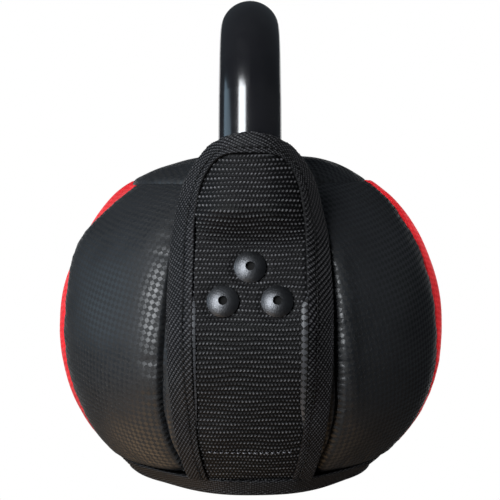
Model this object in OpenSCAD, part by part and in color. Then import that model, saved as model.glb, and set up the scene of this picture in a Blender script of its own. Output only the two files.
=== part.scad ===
// Soft kettlebell-style medicine ball: a sewn, weighted ball with a riveted tubular handle.
// Millimetres, +Z up, origin on the floor under the centre of the ball.
// The handle spans X. "right" is the +X end, "front" is the -Y side.

/* [Ball] */
// Radius of the bulging arc of each side panel
bulge_r = 108.7; // [104:0.1:112]
// How far that arc's centre stands out from the ball's axis
bulge_offset = 8; // [6:0.5:9]
// Height of the widest ring
equator_h = 86; // [84:1:88]
// Height of the seam between the side panels and the base
base_seam_h = 7.8; // [7.2:0.1:8.4]
// Height of the seam between the side panels and the top panel
top_seam_h = 174; // [170:1:176]
// Rise of the domed top panel above its seam
dome_rise = 17; // [14:1:20]
// Thickness of the coated leather
skin_t = 1.6; // [1:0.1:2]
// Gap left for the thread between two panels, in degrees
seam_gap = 0.2; // [0.1:0.05:0.4]

/* [Base] */
// Radius of the flat base panel
base_r = 72.4; // [70:0.2:73]
// Thickness of the base panel
base_t = 2.4; // [2:0.1:3]
// Outer radius of the tape round the base, at its upper edge
binding_top_r = 79; // [78:0.1:80]
// Outer radius of that tape at the floor
binding_foot_r = 74; // [73.8:0.1:76]
// Thickness of that tape
binding_t = 1.4; // [1:0.1:1.6]
// Thickness of the stiffening disc inside the base
stiffener_t = 3; // [2:0.5:4]

/* [Handle] */
// Outer diameter of the handle tube
tube_d = 34; // [33:0.1:34]
// Wall of the handle tube
tube_wall = 2.5; // [2:0.1:4]
// Half the straight length of the grip
grip_half = 32; // [31:0.5:33]
// Centreline radius of each bend
bend_r = 58; // [57:0.5:59]
// Height of the grip's axis
grip_h = 261; // [259:1:264]
// Outward lean of each leg, in degrees from vertical
leg_lean = 15; // [14:0.5:16]
// Length of each straight leg
leg_len = 68; // [66:1:69]
// Thickness of the end plates
plate_t = 4; // [3:0.5:4]
// Width of the end plates
plate_w = 52; // [50:1:54]

/* [Rivets] */
// Distance between the two lower rivets
rivet_pitch = 28; // [26:1:30]
// Height of the upper rivet over the lower two
rivet_rise = 18; // [16:1:20]
// Diameter of a rivet's head
head_d = 17; // [15:0.5:18]
// Height of a rivet's domed head
head_h = 3.4; // [2.5:0.1:4]
// Diameter of a rivet's shank
shank_d = 8; // [6:0.1:8.4]
// Bore left in a rivet where its mandrel broke off
rivet_bore_d = 4.8; // [3.5:0.1:5.2]

/* [Straps] */
// Half width of the sewn-on strap over its edge tape
strap_half = 43.3; // [42:0.1:44]
// Half width that shows between the edge tapes
web_half = 28.5; // [27:0.5:30]
// Height at which the strap is widest
strap_mid_h = 100; // [96:1:104]
// Height of the top of the pocket's mouth
pocket_h = 198; // [196:1:200]
// Thickness of the webbing
web_t = 2; // [1.5:0.1:2.2]
// Thickness of the edge tape
tape_t = 1.2; // [1:0.1:1.6]

/* [Filling] */
// Thickness of the wadding round the weight bag
wadding_t = 12; // [10:1:16]
// Height that the iron sand reaches
sand_h = 112; // [90:1:150]

/* [Hidden] */
$fn = 72;

black = "#17191b";
red = "#d8202a";
steel = "#8c8f92";
cloth = "#1d1d1d";

// Eight side panels, each tucked in at a slope over the base and hemmed under.
panel_angle = 360 / 8;
tuck_angle = 25;
hem_w = 8;

// Clearances between solids: where one fits in another, and where soft layers lie on each other.
fit_gap = 0.1;
layer_gap = 0.2;

// Longer than anything here, for clipping shapes.
far = 400;

// Where a bend turns into its leg, and the middle of the rivet pattern further down the same line.
tube_r = tube_d / 2;
bend_end = [grip_half + bend_r * cos(leg_lean), grip_h - bend_r * (1 - sin(leg_lean))];
leg_dir = [sin(leg_lean), -cos(leg_lean)];
plate_drop = 35;
plate_mid = bend_end + (leg_len + plate_drop) * leg_dir;
tube_end_h = bend_end[1] - leg_len * cos(leg_lean);

// End plates: the flat part, the tab that goes up into the tube, and the round of their corners.
plate_half_l = 22;
plate_corner = 8;
tab_len = 30;
tab_w = tube_d - 1;
tab_slot_gap = 2;
plate_foot = plate_mid[1] - plate_half_l * cos(leg_lean);

// Rivets: the height of each layer that they clamp, measured outwards from the middle of the plate.
web_in = plate_t / 2 + layer_gap;
web_out = web_in + web_t;
head_base = web_out + fit_gap;
skin_out = -plate_t / 2 - fit_gap;
skin_in = skin_out - skin_t;
backing_out = skin_in - layer_gap;
backing_t = 1.9;
backing_in = backing_out - backing_t;
backing_half_l = 18;
backing_half_w = 22;
backing_corner = 6;
bulb_d = 12;
bulb_len = 4.5;
mandrel_head_d = 8.4;
mandrel_head_h = 3;
recess_depth = 2.5;
hole_d = shank_d + 2 * fit_gap;

// The straps' outlines: superellipses of one height above the widest point and another below it.
outer_power = 2.3;
inner_power = 3;
strap_foot = 115;
strap_low = base_seam_h + 1;
lap_under_tape = 0.7;
tape_w = strap_half - web_half;
tape_steps = 80;
tape_cols = 4;
sheet_rows = 34;
sheet_cols = 14;

bag_t = 0.8;
bag_bottom_h = 11;
bag_top_h = 158;

function smooth(a, b, v) = let (t = max(0, min(1, (v - a) / (b - a)))) t * t * (3 - 2 * t);
function mix(a, b, w) = a * (1 - w) + b * w;
function signed_power(v, p) = sign(v) * pow(abs(v), p);

// Radius of the ball at a height, and the ball's surface as a distance along X from its middle plane.
function arc_r(z) = bulge_offset + sqrt(max(0, pow(bulge_r, 2) - pow(z - equator_h, 2)));
function tuck_r(z) = binding_top_r + (z - base_seam_h) / tan(tuck_angle);
function ball_r(z) = min(arc_r(z), tuck_r(z));
function ball_x(y, z) = sqrt(max(0, pow(ball_r(z), 2) - y * y));

// The middle of the leg and of its plate at a height.
function leg_x(z) = plate_mid[0] + (plate_mid[1] - z) * tan(leg_lean);

// Half width at a height of an outline with a given half width, rise over its widest point and power.
function edge_y(z, half, rise, power) =
    let (t = min(1, abs(z - strap_mid_h) / (z > strap_mid_h ? rise : strap_foot)))
    half * pow(1 - pow(t, power), 1 / power);
function strap_y(z) = edge_y(z, strap_half, pocket_h - strap_mid_h, outer_power);

// Where the webbing leaves the ball: below this height it lies on it, and beyond these half widths too.
taut_from_h = 46;
flat_half = 27;
loose_half = 42;
step_len = 12;

// Inner face of the webbing: over the ball low down, flat on the plate, and round the tube in the pocket.
function tube_front(y, z) = leg_x(z) + sqrt(max(0, pow(tube_r, 2) - y * y)) / cos(leg_lean);
function pocket_edge_x(z) = leg_x(z) - 0.5 * max(0, pocket_h - 5 - z);
function pocket_x(y, z) =
    let (t = min(1.2, abs(y) / max(strap_y(z), 1)),
         edge = pocket_edge_x(z),
         peak = tube_front(0, z) + 1)
    max(edge + (peak - edge) * (1 - pow(t, 3)), abs(y) < tube_r ? tube_front(y, z) + 0.6 : 0);
function plate_front(z) = leg_x(max(z, plate_foot)) + web_in / cos(leg_lean);
function strap_low_x(y, z) =
    let (ball = ball_x(y, z) + 0.4)
    mix(ball, max(ball, plate_front(z)), smooth(loose_half, flat_half, abs(y)) * smooth(taut_from_h, plate_foot, z));
function strap_x(y, z) =
    mix(strap_low_x(y, z), pocket_x(y, z), smooth(tube_end_h - step_len, tube_end_h, z));

// A point that stands off the webbing's inner face, along its normal.
function strap_point(y, z, off) =
    let (e = 0.5,
         dy = (strap_x(y + e, z) - strap_x(y - e, z)) / (2 * e),
         dz = (strap_x(y, z + e) - strap_x(y, z - e)) / (2 * e),
         n = [1, -dy, -dz])
    [strap_x(y, z), y, z] + off * n / norm(n);

// The panel under a strap: the ball, pulled flat against the back of the plate where the rivets clamp it.
clamp_low = plate_mid[1] - backing_half_l;
clamp_high = plate_mid[1] + backing_half_l;
function clamped(y, z) = smooth(backing_half_w + 10, backing_half_w + 2, abs(y))
    * smooth(clamp_low - step_len, clamp_low, z) * smooth(clamp_high + step_len, clamp_high, z);
function strap_panel_point(angle, z, off) =
    let (r = ball_r(z),
         y = r * sin(angle),
         back = leg_x(z) + skin_out / cos(leg_lean),
         w = clamped(y, z),
         x = mix(r * cos(angle), back, w),
         n = mix([cos(angle), sin(angle), (z - equator_h) / bulge_r], [cos(leg_lean), 0, sin(leg_lean)], w))
    [x, y, z] + off * n / norm(n);

// A point on such an outline: phi runs from the foot at -90, over the top at 90, to the other foot at 270.
function outline_point(phi, half, rise, power) =
    let (drop = max(-phi, phi - 180, 0) / 90,
         z = mix(strap_mid_h, strap_low, drop))
    drop > 0 ? [sign(90 - phi) * edge_y(z, half, rise, power), z] :
    [half * signed_power(cos(phi), 2 / power), strap_mid_h + rise * signed_power(sin(phi), 2 / power)];
function tape_point(phi, t, off) =
    let (rise = pocket_h - strap_mid_h,
         inner = outline_point(phi, web_half, rise - 0.8 * tape_w, inner_power),
         outer = outline_point(phi, strap_half, rise, outer_power),
         p = mix(inner, outer, t))
    strap_point(p[0], p[1], off);

// A closed sheet between two grids of points, each grid a list of rows.
module sheet(outer, inner) {
    m = len(outer);
    n = len(outer[0]);
    function id(i, j, side) = side * m * n + i * n + j;
    function quad(a, b, c, d) = [[a, b, c], [a, c, d]];
    skins = [for (i = [0 : m - 2], j = [0 : n - 2]) each concat(
        quad(id(i, j, 0), id(i + 1, j, 0), id(i + 1, j + 1, 0), id(i, j + 1, 0)),
        quad(id(i, j, 1), id(i, j + 1, 1), id(i + 1, j + 1, 1), id(i + 1, j, 1)))];
    sides = [for (i = [0 : m - 2]) each concat(
        quad(id(i + 1, 0, 0), id(i, 0, 0), id(i, 0, 1), id(i + 1, 0, 1)),
        quad(id(i, n - 1, 0), id(i + 1, n - 1, 0), id(i + 1, n - 1, 1), id(i, n - 1, 1)))];
    ends = [for (j = [0 : n - 2]) each concat(
        quad(id(0, j, 0), id(0, j + 1, 0), id(0, j + 1, 1), id(0, j, 1)),
        quad(id(m - 1, j + 1, 0), id(m - 1, j, 0), id(m - 1, j, 1), id(m - 1, j + 1, 1)))];
    polyhedron([for (side = [outer, inner]) each [for (row = side) each row]],
               concat(skins, sides, ends), convexity = 10);
}

// Everything on the -X end is the +X end turned half round.
module on_side(side) rotate([0, 0, side == "left" ? 180 : 0]) children();

// The plate's own frame: X down the leg, Y across it, Z outwards, centred on the rivet pattern.
module at_plate() translate([plate_mid[0], 0, plate_mid[1]]) rotate([0, 90 - leg_lean, 0]) children();

// Rivet places in that frame, by name: "top", "front" and "back" as seen on the +X end.
function rivet_place(which) =
    which == "top" ? [-rivet_rise / 2, 0] :
    [rivet_rise / 2, (which == "front" ? -1 : 1) * rivet_pitch / 2];
RIVETS = ["top", "front", "back"];

module rivet_holes() at_plate() for (which = RIVETS)
    translate([each rivet_place(which), -20]) cylinder(d = hole_d, h = 40);

module rounded_rect(l, w, r) {
    square([l - 2 * r, w], center = true);
    square([l, w - 2 * r], center = true);
    for (x = [-1, 1], y = [-1, 1]) translate([x * (l / 2 - r), y * (w / 2 - r)]) circle(r);
}

// A round bar bent to the handle's line. Bending draws it a hair thinner than its straights.
module bent_bar(r) {
    lap = 0.3;
    bend_thinning = 0.05;
    translate([0, 0, grip_h]) rotate([0, 90, 0])
        cylinder(r = r, h = 2 * (grip_half + lap), center = true);
    for (side = ["left", "right"]) on_side(side) {
        translate([grip_half, 0, grip_h - bend_r]) rotate([90, -leg_lean, 0])
            rotate_extrude(angle = 90 - leg_lean) translate([bend_r, 0]) circle(r - bend_thinning);
        translate([bend_end[0], 0, bend_end[1]]) rotate([0, 180 - leg_lean, 0])
            translate([0, 0, -lap]) cylinder(r = r, h = leg_len + lap);
    }
}

module tab(clearance) translate([-plate_half_l - tab_len / 2 + 1, 0])
    square([tab_len + 2 + 2 * clearance, tab_w + 2 * clearance], center = true);

module handle_tube() color(black) difference() {
    bent_bar(tube_r);
    bent_bar(tube_r - tube_wall);
    for (side = ["left", "right"]) on_side(side) at_plate()
        translate([0, 0, -plate_t / 2 - fit_gap / 2]) linear_extrude(plate_t + fit_gap)
            tab(tab_slot_gap);
}

module handle_plate(side) color(steel) on_side(side) difference() {
    at_plate() translate([0, 0, -plate_t / 2]) linear_extrude(plate_t) union() {
        rounded_rect(2 * plate_half_l, plate_w, plate_corner);
        tab(0);
    }
    rivet_holes();
}

module backing_plate(side) color(steel) on_side(side) difference() {
    at_plate() translate([0, 0, backing_in]) linear_extrude(backing_t)
        rounded_rect(2 * backing_half_l, 2 * backing_half_w, backing_corner);
    rivet_holes();
}

// Blind rivet, set: domed head, shank and the bulb that formed behind the backing plate.
module rivet(side, which) color(black) on_side(side) at_plate()
    translate(rivet_place(which)) difference() {
        dome_r = (pow(head_d / 2, 2) + pow(head_h, 2)) / (2 * head_h);
        union() {
            intersection() {
                translate([0, 0, head_base + head_h - dome_r]) sphere(dome_r);
                translate([0, 0, head_base]) cylinder(d = head_d - 0.4, h = head_h + 1);
            }
            translate([0, 0, backing_in - 1]) cylinder(d = shank_d, h = head_base - backing_in + 2);
            translate([0, 0, backing_in - fit_gap - bulb_len]) cylinder(d = bulb_d, h = bulb_len);
        }
        translate([0, 0, -40]) cylinder(d = rivet_bore_d, h = 80);
    }

// The broken mandrel that stays in each rivet.
module mandrel(side, which) color(steel) on_side(side) at_plate() translate(rivet_place(which)) {
    foot = backing_in - fit_gap - bulb_len;
    top = head_base + head_h - recess_depth;
    translate([0, 0, foot - 1]) cylinder(d = rivet_bore_d - fit_gap, h = top - foot + 1);
    translate([0, 0, foot - fit_gap - mandrel_head_h]) cylinder(d = mandrel_head_d, h = mandrel_head_h);
}

// Half section of the ball between two heights, its surface moved in by some depth.
module ball_section(depth, low, high) intersection() {
    translate([bulge_offset, equator_h]) circle(bulge_r - depth);
    translate([0, low]) square([far, high - low]);
}

// Half section of the sewn shell at some depth under its surface, tucked in at the foot to meet the base.
module shell_section(depth, high) intersection() {
    low = base_seam_h + depth;
    translate([bulge_offset, equator_h]) circle(bulge_r - depth);
    polygon([[0, low], [binding_top_r, low], [far, low + (far - binding_top_r) * tan(tuck_angle)],
             [far, high], [0, high]]);
}

module side_panel(middle, tint) color(tint)
    rotate([0, 0, middle - panel_angle / 2 + seam_gap / 2])
        rotate_extrude(angle = panel_angle - seam_gap) difference() {
            shell_section(0, top_seam_h - fit_gap);
            shell_section(skin_t, top_seam_h + 1);
            square([binding_top_r - hem_w, far]);
        }

dome_edge = ball_r(top_seam_h);
dome_r = (pow(dome_edge, 2) + pow(dome_rise, 2)) / (2 * dome_rise);
module dome_section(depth, low) intersection() {
    translate([0, top_seam_h + dome_rise - dome_r]) circle(dome_r - depth);
    translate([0, low]) square([dome_edge, far]);
}

module top_panel() color(black) rotate_extrude() difference() {
    dome_section(0, top_seam_h);
    dome_section(skin_t, top_seam_h - 1);
}

module strap_panel(side) color(black) on_side(side) difference() {
    half = (panel_angle - seam_gap) / 2;
    grid = [for (off = [0, -skin_t]) [for (i = [0 : sheet_rows])
        let (z = mix(base_seam_h, top_seam_h - fit_gap - skin_t * 0.7, i / sheet_rows))
        [for (j = [0 : sheet_cols]) strap_panel_point(mix(-half, half, j / sheet_cols), z, off)]]];
    sheet(grid[0], grid[1]);
    rivet_holes();
}

module webbing_strap(side) color(cloth) on_side(side) difference() {
    low = base_seam_h + 2;
    high = pocket_h - 6;
    grid = [for (off = [web_t, 0]) [for (i = [0 : sheet_rows])
        let (z = mix(low, high, i / sheet_rows), half = strap_y(z) - lap_under_tape * tape_w)
        [for (j = [0 : sheet_cols]) strap_point(mix(-half, half, j / sheet_cols), z, off)]]];
    sheet(grid[0], grid[1]);
    rivet_holes();
}

// Twill tape up one edge of the strap, round the pocket's mouth and down the other edge.
module strap_edging(side) color(cloth) on_side(side) {
    low = web_t + layer_gap;
    grid = [for (off = [low + tape_t, low]) [for (i = [0 : tape_steps])
        let (phi = mix(-90, 270, i / tape_steps))
        [for (j = [0 : tape_cols]) tape_point(phi, j / tape_cols, off)]]];
    sheet(grid[0], grid[1]);
}

// Back of the pocket, between the tube and the ball's shoulder.
module pocket_lining(side) color(cloth) on_side(side) {
    low = 159;
    high = pocket_h - 6;
    rows = 12;
    thick = 1.2;
    grid = [for (off = [thick, 0]) [for (i = [0 : rows])
        let (z = mix(low, high, i / rows), half = strap_y(z) - 1.5)
        [for (j = [0 : sheet_cols])
            let (y = mix(-half, half, j / sheet_cols),
                 back = leg_x(z) - (tube_r + 0.6) / cos(leg_lean) - thick,
                 edge = pocket_edge_x(z) - thick - 0.6)
            [min(edge, mix(back, edge, pow(abs(y) / half, 3))) + off, y, z]]]];
    sheet(grid[0], grid[1]);
}

module base_panel() color(cloth) cylinder(r = base_r, h = base_t);

// Tape folded over the edge of the base: a wall that leans out and a lip over its top.
module base_binding() color(cloth) {
    top = base_seam_h - fit_gap;
    rotate_extrude() polygon([
        [binding_foot_r, 0], [binding_top_r, top], [base_r, top], [base_r, top - binding_t],
        [binding_top_r - 2 * binding_t, top - binding_t], [binding_foot_r - binding_t, 0]]);
}

module base_stiffener() color(steel) translate([0, 0, base_seam_h + 0.2])
    cylinder(r = base_r - 3, h = stiffener_t);

module bag_shape(depth, low, high) rotate_extrude()
    ball_section(skin_t + layer_gap + wadding_t + depth, low, high);

module wadding() color("white") difference() {
    rotate_extrude() union() {
        ball_section(skin_t + layer_gap, base_seam_h + stiffener_t + 0.4, top_seam_h);
        dome_section(skin_t + layer_gap, top_seam_h - 0.5);
    }
    bag_shape(-layer_gap, bag_bottom_h - layer_gap, bag_top_h + layer_gap);
    for (side = ["left", "right"]) on_side(side) at_plate()
        translate([-20, -25, -17]) cube([40, 50, 17 + backing_out + 0.3]);
}

module weight_bag() color("tan") difference() {
    bag_shape(0, bag_bottom_h, bag_top_h);
    bag_shape(bag_t, bag_bottom_h + bag_t, bag_top_h - bag_t);
}

module iron_sand() color("dimgray")
    bag_shape(bag_t + fit_gap, bag_bottom_h + bag_t + fit_gap, sand_h);

handle_tube();
for (side = ["left", "right"]) {
    handle_plate(side);
    strap_panel(side);
    webbing_strap(side);
    strap_edging(side);
    pocket_lining(side);
    backing_plate(side);
    for (which = RIVETS) {
        rivet(side, which);
        mandrel(side, which);
    }
}
top_panel();
side_panel(-90, red);  // red_panel_front
side_panel(90, red);  // red_panel_back
side_panel(-45, black);  // black_panel_front_right
side_panel(45, black);  // black_panel_back_right
side_panel(135, black);  // black_panel_back_left
side_panel(225, black);  // black_panel_front_left
base_panel();
base_binding();
base_stiffener();
wadding();
weight_bag();
iron_sand();
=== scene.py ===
"""Looks of the medicine ball with a tube handle: leather, webbing, thread and metal around the CAD frame.

Shapes are worked out in millimetres in the CAD frame and turned into metres when a mesh is made. The straps
and what belongs to them are shaped at +X, the "right" side, and turned half round the upright axis for -X.
"""

import math

import bpy
import numpy as np
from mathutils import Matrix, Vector


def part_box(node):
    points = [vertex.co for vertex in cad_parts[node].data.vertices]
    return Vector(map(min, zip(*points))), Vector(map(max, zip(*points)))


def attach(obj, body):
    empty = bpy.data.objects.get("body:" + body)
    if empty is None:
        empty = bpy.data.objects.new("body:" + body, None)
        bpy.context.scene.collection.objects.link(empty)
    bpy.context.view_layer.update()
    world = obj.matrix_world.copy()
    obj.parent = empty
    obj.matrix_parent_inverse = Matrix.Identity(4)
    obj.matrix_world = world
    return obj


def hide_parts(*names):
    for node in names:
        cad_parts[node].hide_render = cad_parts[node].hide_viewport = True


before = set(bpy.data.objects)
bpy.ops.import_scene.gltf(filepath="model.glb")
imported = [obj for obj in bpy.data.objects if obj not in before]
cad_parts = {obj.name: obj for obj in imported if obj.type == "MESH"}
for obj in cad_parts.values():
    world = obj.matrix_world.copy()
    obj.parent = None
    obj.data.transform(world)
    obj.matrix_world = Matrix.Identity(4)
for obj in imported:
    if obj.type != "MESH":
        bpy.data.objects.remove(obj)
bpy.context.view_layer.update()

MM = 0.001
SIDES = {"right": 0.0, "left": 180.0}


def low(node):
    """Lowest corner of a CAD node, in millimetres."""
    return np.array(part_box(node)[0]) / MM


def high(node):
    """Highest corner of a CAD node, in millimetres."""
    return np.array(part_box(node)[1]) / MM


# ---- Sizes taken from the frame ----

# The ball's outline: one arc from the equator to the top seam, and a straight tuck over the base binding.
EQUATOR_R = high("red_panel_back")[1]
EQUATOR_Z = 86.0
TOP_SEAM_R = high("top_panel")[0]
TOP_SEAM_Z = high("black_panel_back_right")[2]
DOME_TOP_Z = high("top_panel")[2]
BASE_SEAM_Z = low("red_panel_back")[2]
TUCK_ANGLE = math.radians(25)
BINDING_TOP_R = high("base_binding")[0]
BINDING_TOP_Z = high("base_binding")[2]
BINDING_FOOT_R = 74.0
BASE_R = high("base_panel")[0]
SKIN_T = 1.6
ARC_DROP = EQUATOR_R - TOP_SEAM_R
ARC_RISE = TOP_SEAM_Z - EQUATOR_Z
BULGE_R = (ARC_DROP**2 + ARC_RISE**2) / (2 * ARC_DROP)
BULGE_OFFSET = EQUATOR_R - BULGE_R

# The handle's right leg, its end plate and the rivets through it.
LEAN = math.radians(15)
OUTWARD = np.array([math.cos(LEAN), 0.0, math.sin(LEAN)])
BACKING_DEPTH = 4.85
PLATE_MID = (low("backing_plate_right") + high("backing_plate_right")) / 2 + BACKING_DEPTH * OUTWARD
PLATE_HALF_L = 22.0
PLATE_FOOT_Z = PLATE_MID[2] - PLATE_HALF_L * math.cos(LEAN)
TUBE_R = high("handle_tube")[1]
TUBE_END_UP = 35.0
TUBE_END_Z = PLATE_MID[2] + TUBE_END_UP * math.cos(LEAN)

# The strap: webbing in the middle, an edging tape round it and a pocket for the tube at its top.
STRAP_HALF = high("strap_edging_right")[1] - 0.8
WEB_HALF = 28.5
POCKET_TOP_Z = high("strap_edging_right")[2] - 1.0
STRAP_MID_Z = 100.0
STRAP_LOW_Z = BASE_SEAM_Z + 1
STRAP_RISE = POCKET_TOP_Z - STRAP_MID_Z
TAPE_W = STRAP_HALF - WEB_HALF
WEB_T = 2.0
TAPE_T = 1.2
LAYER_GAP = 0.2
OUTER_POWER = 2.4
INNER_POWER = 3.5
OUTER_DROP = 126.0
INNER_DROP = 104.0
INNER_RISE = STRAP_RISE - 0.75 * TAPE_W


# ---- Small sums ----


def smooth(a, b, v):
    """0 at a, 1 at b, with soft ends."""
    t = np.clip((v - a) / (b - a), 0, 1)
    return t * t * (3 - 2 * t)


def mix(a, b, w):
    """a where w is 0, b where w is 1."""
    return a * (1 - w) + b * w


def signed_power(v, p):
    return np.sign(v) * np.abs(v) ** p


def round_over(d, width):
    """0 at an edge, 1 from width inwards, on a quarter round."""
    return np.sqrt(np.clip(1 - (1 - np.clip(d / width, 0, 1)) ** 2, 0, 1))


def ripple(x, y, size, seed):
    """Smooth noise of about -1 to 1 over a plane, in lumps about size across."""
    rng = np.random.default_rng(seed)
    total = 0.0
    for _ in range(9):
        angle, phase = rng.uniform(0, 2 * np.pi, 2)
        k = 2 * np.pi / size * rng.uniform(0.45, 1.1)
        total = total + np.sin((x * np.cos(angle) + y * np.sin(angle)) * k + phase)
    return total / 3.2


def unit(v):
    return v / np.maximum(np.linalg.norm(v, axis=-1, keepdims=True), 1e-9)


def normals_of(points):
    """Outward normals of a grid whose columns run anticlockwise and whose rows run up."""
    return unit(np.cross(np.gradient(points, axis=1), np.gradient(points, axis=0)))


def lengths_along(line):
    """Running length along a line of points."""
    steps = np.linalg.norm(np.diff(line, axis=0), axis=1)
    return np.concatenate([[0.0], np.cumsum(steps)])


def dense_at_ends(count, share=0.55):
    """Values from 0 to 1, closer together at both ends."""
    t = np.linspace(0, 1, count)
    return mix(t, 0.5 - 0.5 * np.cos(np.pi * t), share)


def bicubic(field, v, u):
    """A coarse grid of values read smoothly at rows v and columns u, both from 0 to 1."""
    def weights(t, n):
        place = np.clip(t * (n - 1), 0, n - 1.000001)
        i = place.astype(int)
        f = place - i
        w = np.zeros((len(t), n))
        parts = [
            -f / 2 + f**2 - f**3 / 2,
            1 - 2.5 * f**2 + 1.5 * f**3,
            f / 2 + 2 * f**2 - 1.5 * f**3,
            (f**3 - f**2) / 2,
        ]
        for k, part in enumerate(parts):
            np.add.at(w, (np.arange(len(t)), np.clip(i + k - 1, 0, n - 1)), part)
        return w
    return weights(v, field.shape[0]) @ field @ weights(u, field.shape[1]).T


def turned(points, degrees):
    """Points turned about the upright axis."""
    a = math.radians(degrees)
    turn = np.array([[math.cos(a), math.sin(a), 0], [-math.sin(a), math.cos(a), 0], [0, 0, 1]])
    return points @ turn


def turned_flat(across, along, degrees):
    """Flat coordinates turned by an angle, as a UV layer."""
    a = math.radians(degrees)
    u = across * math.cos(a) + along * math.sin(a)
    v = along * math.cos(a) - across * math.sin(a)
    return np.stack([u, v], axis=-1)


def hump(v, middle, size):
    """1 at the middle, falling to 0 a few sizes away."""
    return np.exp(-(((v - middle) / size) ** 2))


# ---- The ball's and the strap's surfaces ----


def ball_r(z):
    """Radius of the ball at a height, with the corner over the tuck softened."""
    arc = BULGE_OFFSET + np.sqrt(np.maximum(0, BULGE_R**2 - (z - EQUATOR_Z) ** 2))
    tuck = BINDING_TOP_R + (z - BASE_SEAM_Z) / math.tan(TUCK_ANGLE)
    soft = 1.5
    return (arc + tuck - np.sqrt((arc - tuck) ** 2 + soft**2)) / 2


def ball_x(y, z):
    return np.sqrt(np.maximum(0, ball_r(z) ** 2 - y * y))


def leg_x(z):
    return PLATE_MID[0] + (PLATE_MID[2] - z) * math.tan(LEAN)


def edge_y(z, half, rise, drop, power):
    """Half width at a height of a superellipse, with one rise above its widest point and another below."""
    t = np.minimum(1, np.abs(z - STRAP_MID_Z) / np.where(z > STRAP_MID_Z, rise, drop))
    return half * (1 - t**power) ** (1 / power)


def strap_y(z):
    """Half width of the whole strap."""
    return edge_y(z, STRAP_HALF, STRAP_RISE, OUTER_DROP, OUTER_POWER)


def web_y(z):
    """Half width of the webbing that shows inside the edging tape."""
    return edge_y(z, WEB_HALF, INNER_RISE, INNER_DROP, INNER_POWER)


def tube_front(y, z):
    return leg_x(z) + np.sqrt(np.maximum(0, TUBE_R**2 - y * y)) / math.cos(LEAN)


def pocket_edge_x(z):
    return leg_x(z) - 0.5 * np.maximum(0, POCKET_TOP_Z - 5 - z)


def pocket_x(y, z):
    """The webbing's inner face where it is wrapped round the tube."""
    t = np.minimum(1.2, np.abs(y) / np.maximum(strap_y(z), 1))
    edge = pocket_edge_x(z)
    peak = tube_front(0, z) + 1
    round_y = np.minimum(np.abs(y), 0.85 * TUBE_R)
    over_tube = tube_front(round_y, z) + 0.6 - 1.6 * (np.abs(y) - round_y)
    return np.maximum(edge + (peak - edge) * (1 - t**3), over_tube)


def plate_front(z):
    return leg_x(np.maximum(z, PLATE_FOOT_Z)) + (2 + LAYER_GAP) / math.cos(LEAN)


def strap_x(y, z):
    """The webbing's inner face as a distance along X."""
    ball = ball_x(y, z) + 0.4
    on_plate = smooth(42, 27, np.abs(y)) * smooth(46, PLATE_FOOT_Z, z)
    lower = mix(ball, np.maximum(ball, plate_front(z)), on_plate)
    return mix(lower, pocket_x(y, z), smooth(TUBE_END_Z - 15, TUBE_END_Z + 8, z))


def strap_normal(y, z):
    e = 0.5
    dy = (strap_x(y + e, z) - strap_x(y - e, z)) / (2 * e)
    dz = (strap_x(y, z + e) - strap_x(y, z - e)) / (2 * e)
    return unit(np.stack([np.ones_like(dy), -dy, -dz], axis=-1))


def strap_point(y, z, off):
    """A point standing off the webbing's inner face."""
    y, z = np.broadcast_arrays(y, z)
    return np.stack([strap_x(y, z), y, z], axis=-1) + np.asarray(off)[..., None] * strap_normal(y, z)


def outline_point(phi, half, rise, drop, power):
    """A point (y, z) on a strap's outline: phi from -90 at one foot, over the top, to 270 at the other."""
    down = np.maximum(np.maximum(-phi, phi - 180), 0) / 90
    z_leg = mix(STRAP_MID_Z, STRAP_LOW_Z, down)
    y_leg = np.sign(90 - phi) * edge_y(z_leg, half, rise, drop, power)
    a = np.radians(np.clip(phi, 0, 180))
    y_arch = half * signed_power(np.cos(a), 2 / power)
    z_arch = STRAP_MID_Z + rise * np.abs(np.sin(a)) ** (2 / power)
    return np.stack([np.where(down > 0, y_leg, y_arch), np.where(down > 0, z_leg, z_arch)], axis=-1)


def tape_yz(phi, t):
    """A point (y, z) on the edging tape: t from 0 at its inner edge to 1 at its outer edge."""
    inner = outline_point(phi, WEB_HALF, INNER_RISE, INNER_DROP, INNER_POWER)
    outer = outline_point(phi, STRAP_HALF, STRAP_RISE, OUTER_DROP, OUTER_POWER)
    return mix(inner, outer, np.asarray(t)[..., None])


# ---- Meshes ----


def mesh_object(name, points, faces, uv=None, yarn=None):
    """A smooth-shaded object from points in millimetres, with a UV layer in millimetres and a yarn height."""
    mesh = bpy.data.meshes.new(name)
    mesh.from_pydata((np.asarray(points).reshape(-1, 3) * MM).tolist(), [], faces)
    mesh.shade_smooth()
    if uv is not None:
        corner = np.zeros(len(mesh.loops), np.int32)
        mesh.loops.foreach_get("vertex_index", corner)
        layer = mesh.uv_layers.new(name="weave")
        layer.data.foreach_set("uv", np.asarray(uv, np.float32).reshape(-1, 2)[corner].ravel())
    if yarn is not None:
        attribute = mesh.attributes.new("yarn", "FLOAT", "POINT")
        attribute.data.foreach_set("value", np.asarray(yarn, np.float32).ravel())
    obj = bpy.data.objects.new(name, mesh)
    bpy.context.scene.collection.objects.link(obj)
    return obj


def quads(rows, cols, start=0, ring=False, flip=False):
    """Faces of a grid of points, whose columns join round if it is a ring."""
    i, j = np.meshgrid(np.arange(rows - 1), np.arange(cols if ring else cols - 1), indexing="ij")
    k = (j + 1) % cols
    corners = [i * cols + j, i * cols + k, (i + 1) * cols + k, (i + 1) * cols + j]
    if flip:
        corners.reverse()
    return (np.stack(corners, axis=-1).reshape(-1, 4) + start).tolist()


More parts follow.
